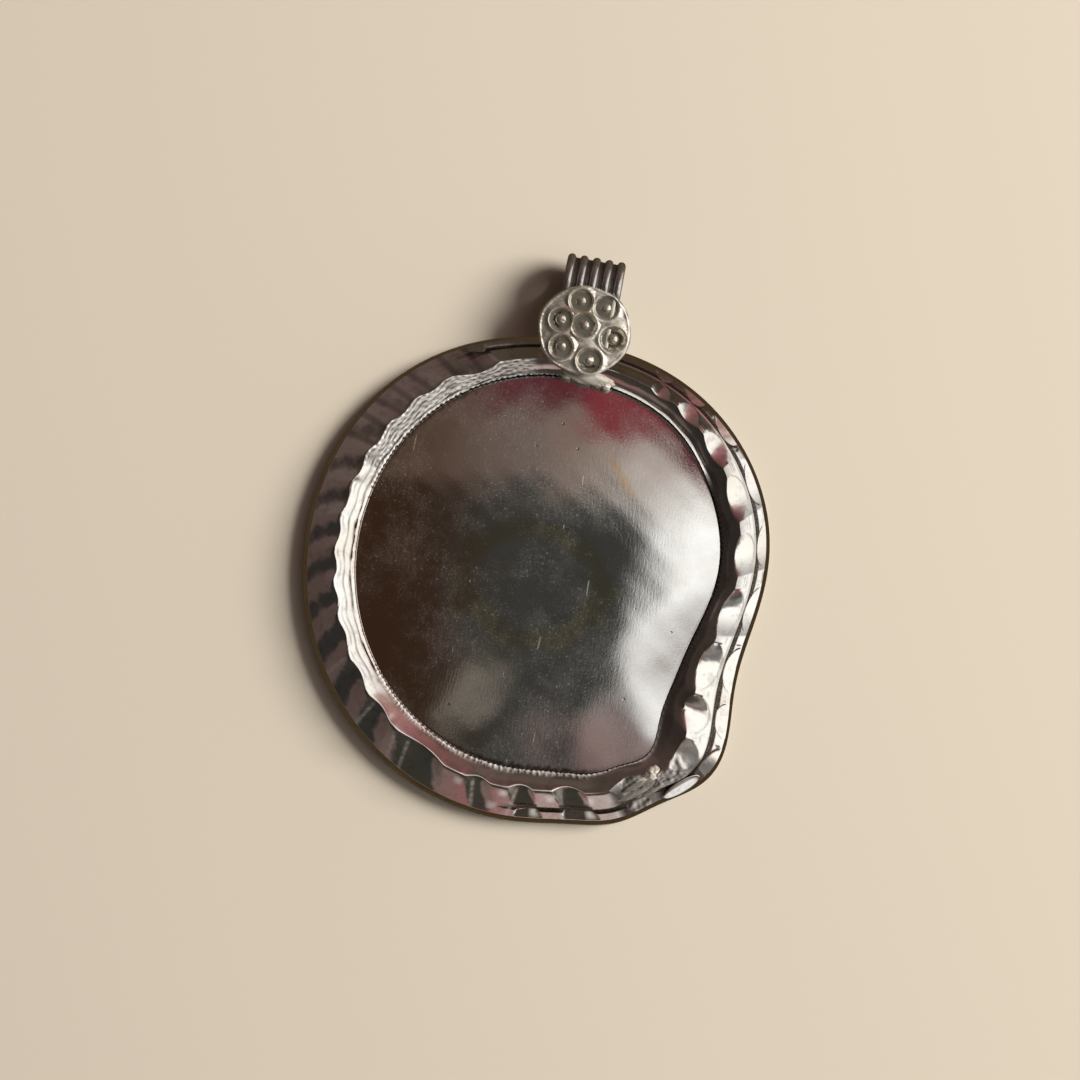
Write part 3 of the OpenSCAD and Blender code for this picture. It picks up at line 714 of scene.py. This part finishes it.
def bail():
    wall = BAIL_R + BAIL_WALL
    reach = wall - 0.04
    axis_z = reach + RIB_R + 0.06
    xs = np.linspace(-BAIL_W / 2, BAIL_W / 2, 112)
    outer = np.full_like(xs, wall)
    for middle in np.linspace(RIB_R - BAIL_W / 2, BAIL_W / 2 - RIB_R, BAIL_RIBS):
        off = np.abs(xs - middle)
        rib = reach + np.sqrt(np.maximum(RIB_R ** 2 - off ** 2, 0))
        outer = np.maximum(outer, np.where(off < RIB_R, rib, 0))
    inner_x = np.linspace(BAIL_W / 2, -BAIL_W / 2, 12)
    inner = BAIL_R + 0.05 * (2 * inner_x / BAIL_W) ** 4
    turns = np.radians(np.arange(0, 360, 3.0))
    rows, dirt_and_shade = [], []

    def ring(x, r, soil):
        y, z = BAIL_Y + r * np.sin(turns), axis_z + r * np.cos(turns)
        rows.append(np.stack([np.full_like(turns, x), y, z], -1))
        dirt_and_shade.append(np.full_like(turns, soil))

    # dirt lies between the ribs and in the opening
    for x, r in zip(xs, outer):
        uneven = 0.012 * waves(turns * 1.7, np.full_like(turns, x), 0.9, 51)
        ring(x, r + uneven, 0.85 if r < wall + 0.05 else 0.42)
    for x, r in zip(inner_x, inner):
        ring(x, r, 0.52)
    dirt_and_shade = np.concatenate(dirt_and_shade)
    faces = grid_faces(len(rows), len(turns), wrap_rows=True)
    piece("bail", np.concatenate(rows), faces, SILVER, dirt_and_shade, np.full_like(dirt_and_shade, 0.10), sharp=50)


bail()


def bail_root():
    """The block under the rosette that joins the bail to the foot: a side outline carried across."""
    neck, low, half_wide = BAIL_Y - BAIL_R - 0.15, 0.7, 1.5
    side = [(SEAT_Y + 0.1, SEAT_Z), (FOOT_Y - 0.15, low), (neck, low), (neck, SEAT_Z + 0.3)]
    n = len(side)
    verts = [[x, y, z] for x in (-half_wide, half_wide) for y, z in side]
    faces = [list(range(n)), list(range(2 * n - 1, n - 1, -1))]
    faces += [[j, n + j, n + (j + 1) % n, (j + 1) % n] for j in range(n)]
    o = piece("bail_root", verts, faces, FROSTED, sharp=40)
    b = o.modifiers.new("edges", "BEVEL")
    b.width, b.segments = 0.12 * MM, 3


bail_root()


def tongue():
    """The tongue between the rosette and the bail, a sheet with its edges eased."""
    end, half_wide = BAIL_Y - SEAT_Y - 0.4, 1.65
    y, x = np.meshgrid(np.linspace(0, end, 24), np.linspace(-half_wide, half_wide, 30), indexing="ij")
    round_off = 0.06 * smooth(np.abs(x), half_wide - 0.15, half_wide) + 0.06 * smooth(y, end - 0.15, end)
    top = np.stack([x, y, PETAL_T - round_off], -1)
    low = np.stack([x, y, np.zeros_like(x)], -1)
    verts = tilted(np.concatenate([top.reshape(-1, 3), low.reshape(-1, 3)]))
    n, m = x.shape
    faces = grid_faces(n, m, wrap_cols=False, flip=True) + grid_faces(n, m, wrap_cols=False, base=n * m)
    ring = [i * m for i in range(n)] + [(n - 1) * m + j for j in range(1, m)]
    ring += [i * m + m - 1 for i in range(n - 2, -1, -1)] + [j for j in range(m - 2, 0, -1)]
    faces += [[a, b, b + n * m, a + n * m] for a, b in zip(ring, ring[1:] + ring[:1])]
    piece("tongue", verts, faces, FROSTED, np.full(len(verts), 0.15), sharp=50)


tongue()


# Solder, and the lobe at the strip's end

def at(clock, inset, z):
    """A place at a clock angle, a distance inside the foot and a height."""
    r = float(rim_r(clock, inset))
    return r * math.sin(math.radians(clock)), r * math.cos(math.radians(clock)), z


def on_band(clock, f, sink=0.12):
    """A place on the band, a share f of the way down from the crest, sunk a little."""
    return at(clock, BAND_W * (1 - f), CREST_H - RISE * f - sink)


def turned(degrees):
    """A turn about the upright, clockwise from above."""
    return Matrix.Rotation(math.radians(-degrees), 3, "Z")


def lumps(name, balls, seed, dirt_and_shade=0.0):
    """Solder: squashed and roughened balls in one piece. Each is its middle, half sizes and turn."""
    rng = np.random.default_rng(seed)
    verts, faces = [], []
    rows, cols = 19, 28
    for middle, half_sizes, turn in balls:
        p = ball(rows, cols)
        u, v = p[..., 0] * 2 + middle[0], p[..., 1] * 2 + p[..., 2] + middle[1]
        bumpy = 1 + 0.10 * waves(u, v, 1.1, int(rng.integers(1e6)))
        p = p * bumpy[..., None] * np.array(half_sizes) @ np.array(turned(turn)).T + np.array(middle)
        faces += grid_faces(rows, cols, base=len(verts) * rows * cols)
        verts.append(p.reshape(-1, 3))
    verts = np.concatenate(verts)
    piece(name, verts, faces, SOLDER, np.full(len(verts), dirt_and_shade))


lumps("bail_solder", [
    (at(3.4, 2.45, 2.10), (1.95, 0.72, 0.42), 4), (at(8.9, 3.05, 1.98), (0.38, 0.34, 0.38), 20),
    (at(-2.6, 2.95, 1.98), (0.40, 0.28, 0.28), -10), (at(2.5, 2.90, 2.02), (1.05, 0.40, 0.30), 0),
    (at(6.2, 2.85, 2.04), (0.75, 0.44, 0.34), 10)], 61)
lumps("joint_solder", [
    (at(140.4, 1.88, 2.36), (0.66, 0.44, 0.48), -44), (at(142.8, 1.72, 2.42), (0.70, 0.18, 0.22), -34)], 62)
lumps("joint_crumbs", [
    (on_band(145.5, 0.14), (0.95, 0.20, 0.20), -36), (on_band(147.0, 0.40), (1.20, 0.22, 0.20), -34),
    (on_band(142.0, 0.52), (0.90, 0.20, 0.20), -42)], 63, dirt_and_shade=0.75)


def strip_end():
    """The smooth pad of metal at the strip's end, which lies on the band: long, half as wide, and flat."""
    rows, cols = 25, 48
    p = ball(rows, cols).reshape(-1, 3) * np.array([1.32, 0.56, 0.09])
    lean = turned(139) @ Matrix.Rotation(-BAND_SLOPE - math.radians(3), 3, "X")
    p = p @ np.array(lean).T + np.array(on_band(136.2, 0.86, sink=-0.06))
    piece("strip_end", p, grid_faces(rows, cols), SILVER)


strip_end()


# Floor, light and camera

def plain_floor():
    me = bpy.data.meshes.new("floor")
    half = 0.6                             # metres
    corners = [(-half, -half, 0), (half, -half, 0), (half, half, 0), (-half, half, 0)]
    me.from_pydata(corners, [], [(0, 1, 2, 3)])
    m = bpy.data.materials.new("floor")
    m.use_nodes = True
    b = m.node_tree.nodes["Principled BSDF"]
    b.inputs["Base Color"].default_value = (0.66, 0.60, 0.50, 1)
    b.inputs["Roughness"].default_value = 0.9
    b.inputs["Specular IOR Level"].default_value = 0.1
    me.materials.append(m)
    o = bpy.data.objects.new("floor", me)
    bpy.context.scene.collection.objects.link(o)
    o.visible_glossy = False


plain_floor()

# The picture's up and right directions in the body's plane
UP = (-math.sin(math.radians(LEAN)), math.cos(math.radians(LEAN)))
RIGHT = (UP[1], -UP[0])

# Soft light round the table by clock angle from the picture's top, at three heights over the horizon
LOW = [
    (0, (0.055, 0.042, 0.032)), (15, (0.060, 0.045, 0.035)), (30, (0.060, 0.045, 0.034)),
    (42, (0.070, 0.050, 0.038)), (50, (0.110, 0.090, 0.080)), (57, (0.420, 0.390, 0.370)),
    (63, (1.100, 1.080, 1.050)), (110, (1.200, 1.190, 1.160)), (116, (0.800, 0.780, 0.760)),
    (122, (0.240, 0.130, 0.130)), (133, (0.200, 0.085, 0.085)), (138, (0.300, 0.220, 0.210)),
    (143, (0.950, 0.930, 0.910)), (158, (0.900, 0.880, 0.860)), (166, (0.520, 0.440, 0.425)),
    (178, (0.520, 0.420, 0.405)), (188, (0.360, 0.220, 0.215)), (198, (0.290, 0.130, 0.135)),
    (212, (0.190, 0.140, 0.125)), (235, (0.105, 0.075, 0.067)), (262, (0.088, 0.060, 0.054)),
    (284, (0.098, 0.066, 0.060)), (303, (0.125, 0.092, 0.082)), (320, (0.135, 0.098, 0.088)),
    (335, (0.120, 0.080, 0.072)), (348, (0.085, 0.062, 0.050)),
]
MIDDLE = [
    (0, (0.100, 0.080, 0.066)), (18, (0.140, 0.095, 0.085)), (30, (0.200, 0.095, 0.085)),
    (41, (0.300, 0.135, 0.135)), (50, (0.450, 0.250, 0.235)), (56, (0.850, 0.790, 0.750)),
    (63, (1.150, 1.130, 1.100)), (112, (1.200, 1.190, 1.150)), (115, (1.000, 0.980, 0.950)),
    (119, (0.150, 0.145, 0.145)), (126, (0.080, 0.078, 0.078)), (136, (0.120, 0.115, 0.110)),
    (144, (0.330, 0.300, 0.285)), (152, (0.260, 0.220, 0.205)), (162, (0.110, 0.092, 0.080)),
    (172, (0.060, 0.052, 0.042)), (190, (0.052, 0.046, 0.037)), (210, (0.045, 0.043, 0.036)),
    (235, (0.028, 0.028, 0.026)), (256, (0.030, 0.026, 0.024)), (268, (0.028, 0.026, 0.025)),
    (286, (0.036, 0.029, 0.026)), (300, (0.058, 0.044, 0.036)), (318, (0.095, 0.066, 0.060)),
    (334, (0.095, 0.056, 0.055)), (347, (0.062, 0.048, 0.038)),
]
HIGH = [
    (0, (0.080, 0.055, 0.045)), (15, (0.120, 0.070, 0.060)), (27, (0.175, 0.080, 0.075)),
    (38, (0.260, 0.110, 0.118)), (47, (0.360, 0.180, 0.185)), (52, (0.560, 0.420, 0.390)),
    (57, (1.050, 1.010, 0.970)), (68, (1.200, 1.190, 1.150)), (112, (1.250, 1.240, 1.200)),
    (115, (1.050, 1.030, 1.000)), (119, (0.300, 0.290, 0.280)), (126, (0.190, 0.180, 0.175)),
    (140, (0.280, 0.250, 0.235)), (150, (0.220, 0.190, 0.170)), (158, (0.090, 0.078, 0.065)),
    (168, (0.055, 0.048, 0.038)), (186, (0.048, 0.044, 0.035)), (204, (0.044, 0.042, 0.034)),
    (222, (0.030, 0.029, 0.025)), (250, (0.026, 0.023, 0.021)), (275, (0.034, 0.026, 0.024)),
    (300, (0.056, 0.040, 0.034)), (330, (0.075, 0.050, 0.045)),
]
# The white side overhead ends at a line: share of the way up the picture, then how far right it is there
WHITE_FROM = [(-0.28, -0.020), (-0.25, 0.000), (-0.22, 0.042), (-0.19, 0.094), (-0.155, 0.134),
              (-0.12, 0.184), (-0.09, 0.216), (-0.06, 0.244), (-0.02, 0.250), (0.05, 0.234), (0.10, 0.224),
              (0.14, 0.192), (0.18, 0.130)]
# The colour there by the share of the way up the picture, and the rosy grey's by twice the share to the right
WHITE_SIDE = [(-0.30, (0.200, 0.135, 0.126)), (-0.22, (0.300, 0.220, 0.204)), (-0.17, (0.360, 0.300, 0.282)),
              (-0.14, (0.700, 0.680, 0.655)), (-0.115, (0.860, 0.845, 0.820)),
              (-0.085, (0.980, 0.970, 0.945)), (-0.05, (1.200, 1.190, 1.150)), (0.10, (1.200, 1.190, 1.150)),
              (0.15, (0.760, 0.720, 0.670)), (0.20, (0.500, 0.425, 0.385)), (0.30, (0.400, 0.310, 0.275))]
TOP_SIDE = [(0.02, (0.095, 0.068, 0.052)), (0.28, (0.144, 0.106, 0.088)), (0.52, (0.172, 0.127, 0.106)),
            (0.72, (0.290, 0.225, 0.185)), (0.97, (0.450, 0.370, 0.325))]


def colour_ramp(add, x, stops):
    """A colour ramp over x with these stops, a place and a colour each."""
    node = add("ShaderNodeValToRGB", {0: x})
    elements = node.color_ramp.elements
    elements.remove(elements[-1])
    for i, (place, colour) in enumerate(stops):
        e = elements[0] if i == 0 else elements.new(place)
        e.position, e.color = place, (*colour, 1)
    return node.outputs[0]


def wheel(add, turn, table):
    """A colour ramp over a whole turn from a table of clock angles; its two ends have the same colour."""
    stops = sorted([((angle / 360 + 0.5) % 1, colour) for angle, colour in table], key=lambda stop: stop[0])
    first, last = stops[0], stops[-1]
    share = first[0] / (first[0] + 1 - last[0])
    seam = tuple(f + (l - f) * share for f, l in zip(first[1], last[1]))
    return colour_ramp(add, turn, [(0.0, seam)] + [stop for stop in stops if 0 < stop[0] < 1] + [(1.0, seam)])


def studio():
    """The light all round, by direction: x to the picture's right, y up the picture, z out of the table."""
    w = bpy.data.worlds.new("studio")
    bpy.context.scene.world = w
    w.use_nodes = True
    w.node_tree.nodes.clear()
    add, math_, plane, ramp, mix, noise = nodes_of(w.node_tree)
    d = add("ShaderNodeTexCoord").outputs["Generated"]
    x, y = (add("ShaderNodeVectorMath", {0: d, 1: (*axis, 0)}, operation="DOT_PRODUCT").outputs["Value"]
            for axis in (RIGHT, UP))
    z = add("ShaderNodeSeparateXYZ", {0: d}).outputs[2]
    turn = math_("ADD", math_("DIVIDE", math_("ARCTAN2", x, y), 2 * math.pi), 0.5)
    low, middle, high = (wheel(add, turn, table) for table in (LOW, MIDDLE, HIGH))
    # overhead, with wavering borders: dark, browner at the left
    waver = math_("MULTIPLY", math_("SUBTRACT", noise(d, 6.0, 2.0), 0.5), 0.04)
    xs, ys = math_("ADD", x, waver), math_("ADD", y, waver)
    out = math_("SQRT", math_("ADD", math_("MULTIPLY", x, x), math_("MULTIPLY", y, y)))
    cap = mix(ramp(xs, -0.30, -0.02), (0.040, 0.023, 0.014, 1), (0.044, 0.043, 0.038, 1))
    # rosy grey at the top
    top = colour_ramp(add, math_("ADD", math_("MULTIPLY", xs, 2.0), 0.5), TOP_SIDE)
    cap = mix(ramp(plane(xs, ys, 0.12, 1.0), 0.174, 0.214), cap, top)
    # white at the right, from a curved line on
    way_up = math_("ADD", ys, 0.5)
    line = colour_ramp(add, way_up, [(up + 0.5, (right + 0.1,) * 3) for up, right in WHITE_FROM])
    edge = math_("SUBTRACT", math_("ADD", xs, 0.1), line)
    side = colour_ramp(add, way_up, [(up + 0.5, colour) for up, colour in WHITE_SIDE])
    hard, soft = ramp(edge, -0.016, 0.016), ramp(edge, 0.0, 0.070)
    cap = mix(math_("ADD", math_("MULTIPLY", hard, 0.42), math_("MULTIPLY", soft, 0.58)), cap, side)
    # a beige square below the middle
    square = math_("MAXIMUM", math_("ABSOLUTE", plane(xs, ys, 1.0, -0.5, 0.045)),
                   math_("ABSOLUTE", plane(xs, ys, -0.4, 1.0, 0.144)))
    cap = mix(ramp(math_("ADD", square, waver), 0.046, 0.062, 0.95, 0.0), cap, (0.190, 0.165, 0.135, 1))
    # a deep red rim at the top, and a red patch that reaches in from it
    upper = math_("MULTIPLY", ramp(xs, -0.15, -0.08), ramp(ys, 0.16, 0.22))
    rim = ramp(math_("ADD", out, math_("MULTIPLY", waver, 0.5)), 0.345, 0.357)
    cap = mix(math_("MULTIPLY", rim, upper), cap, (0.105, 0.024, 0.030, 1))
    patch = math_("MULTIPLY", ramp(plane(xs, ys, 0.05, 1.0), 0.282, 0.294), ramp(xs, 0.076, 0.092))
    cap = mix(math_("MULTIPLY", patch, ramp(xs, 0.20, 0.30, 1.0, 0.0)), cap, (0.215, 0.036, 0.044, 1))
    # the wheels of light below it, and the dull table under the horizon
    light = mix(ramp(z, 0.11, 0.22), low, middle)
    light = mix(ramp(z, 0.34, 0.46), light, high)
    light = mix(ramp(out, 0.46, 0.62), cap, light)
    light = mix(ramp(z, -0.42, -0.22, 1.0, 0.0), light, (0.070, 0.047, 0.022, 1))
    # the background itself is plain and pale
    back = add("ShaderNodeBackground", {0: light, 1: 1.0})
    seen = add("ShaderNodeBackground", {0: (0.62, 0.60, 0.57, 1), 1: 1.0})
    camera = add("ShaderNodeLightPath").outputs["Is Camera Ray"]
    shown = add("ShaderNodeMixShader", {0: camera, 1: back.outputs[0], 2: seen.outputs[0]})
    w.node_tree.links.new(shown.outputs[0], add("ShaderNodeOutputWorld").inputs[0])


studio()


def soft_light():
    """A large lamp at the upper right that lights the floor and leaves no patch in the silver."""
    data = bpy.data.lights.new("side_lamp", "AREA")
    data.shape, data.size, data.energy, data.color = "DISK", 0.30, 5.2, (1.0, 0.96, 0.90)
    o = bpy.data.objects.new("side_lamp", data)
    place = Vector((0.44, 0.20, 0.36))
    o.location = place
    o.rotation_euler = (-place).to_track_quat("-Z", "Y").to_euler()
    o.visible_glossy = False
    bpy.context.scene.collection.objects.link(o)


soft_light()


def make_camera():
    """A long lens almost straight above, with the picture's up as its up."""
    data = bpy.data.cameras.new("camera")
    distance, wide, tilt = 350.0, 68.2, math.radians(2.5)      # millimetres, and what the picture spans there
    data.sensor_width = 36
    data.lens = data.sensor_width * distance / wide
    data.clip_start, data.clip_end = 0.01, 10
    o = bpy.data.objects.new("camera", data)
    target = np.array([UP[0] * 2.05, UP[1] * 2.05, 1.2])
    back = np.array([-UP[0] * math.sin(tilt), -UP[1] * math.sin(tilt), math.cos(tilt)])
    up = np.array([UP[0] * math.cos(tilt), UP[1] * math.cos(tilt), math.sin(tilt)])
    place = (target + back * distance) * MM
    o.matrix_world = Matrix([*np.stack([np.cross(up, back), up, back, place], -1).tolist(), (0, 0, 0, 1)])
    bpy.context.scene.collection.objects.link(o)
    bpy.context.scene.camera = o


make_camera()
bpy.context.scene.view_settings.view_transform = "Standard"
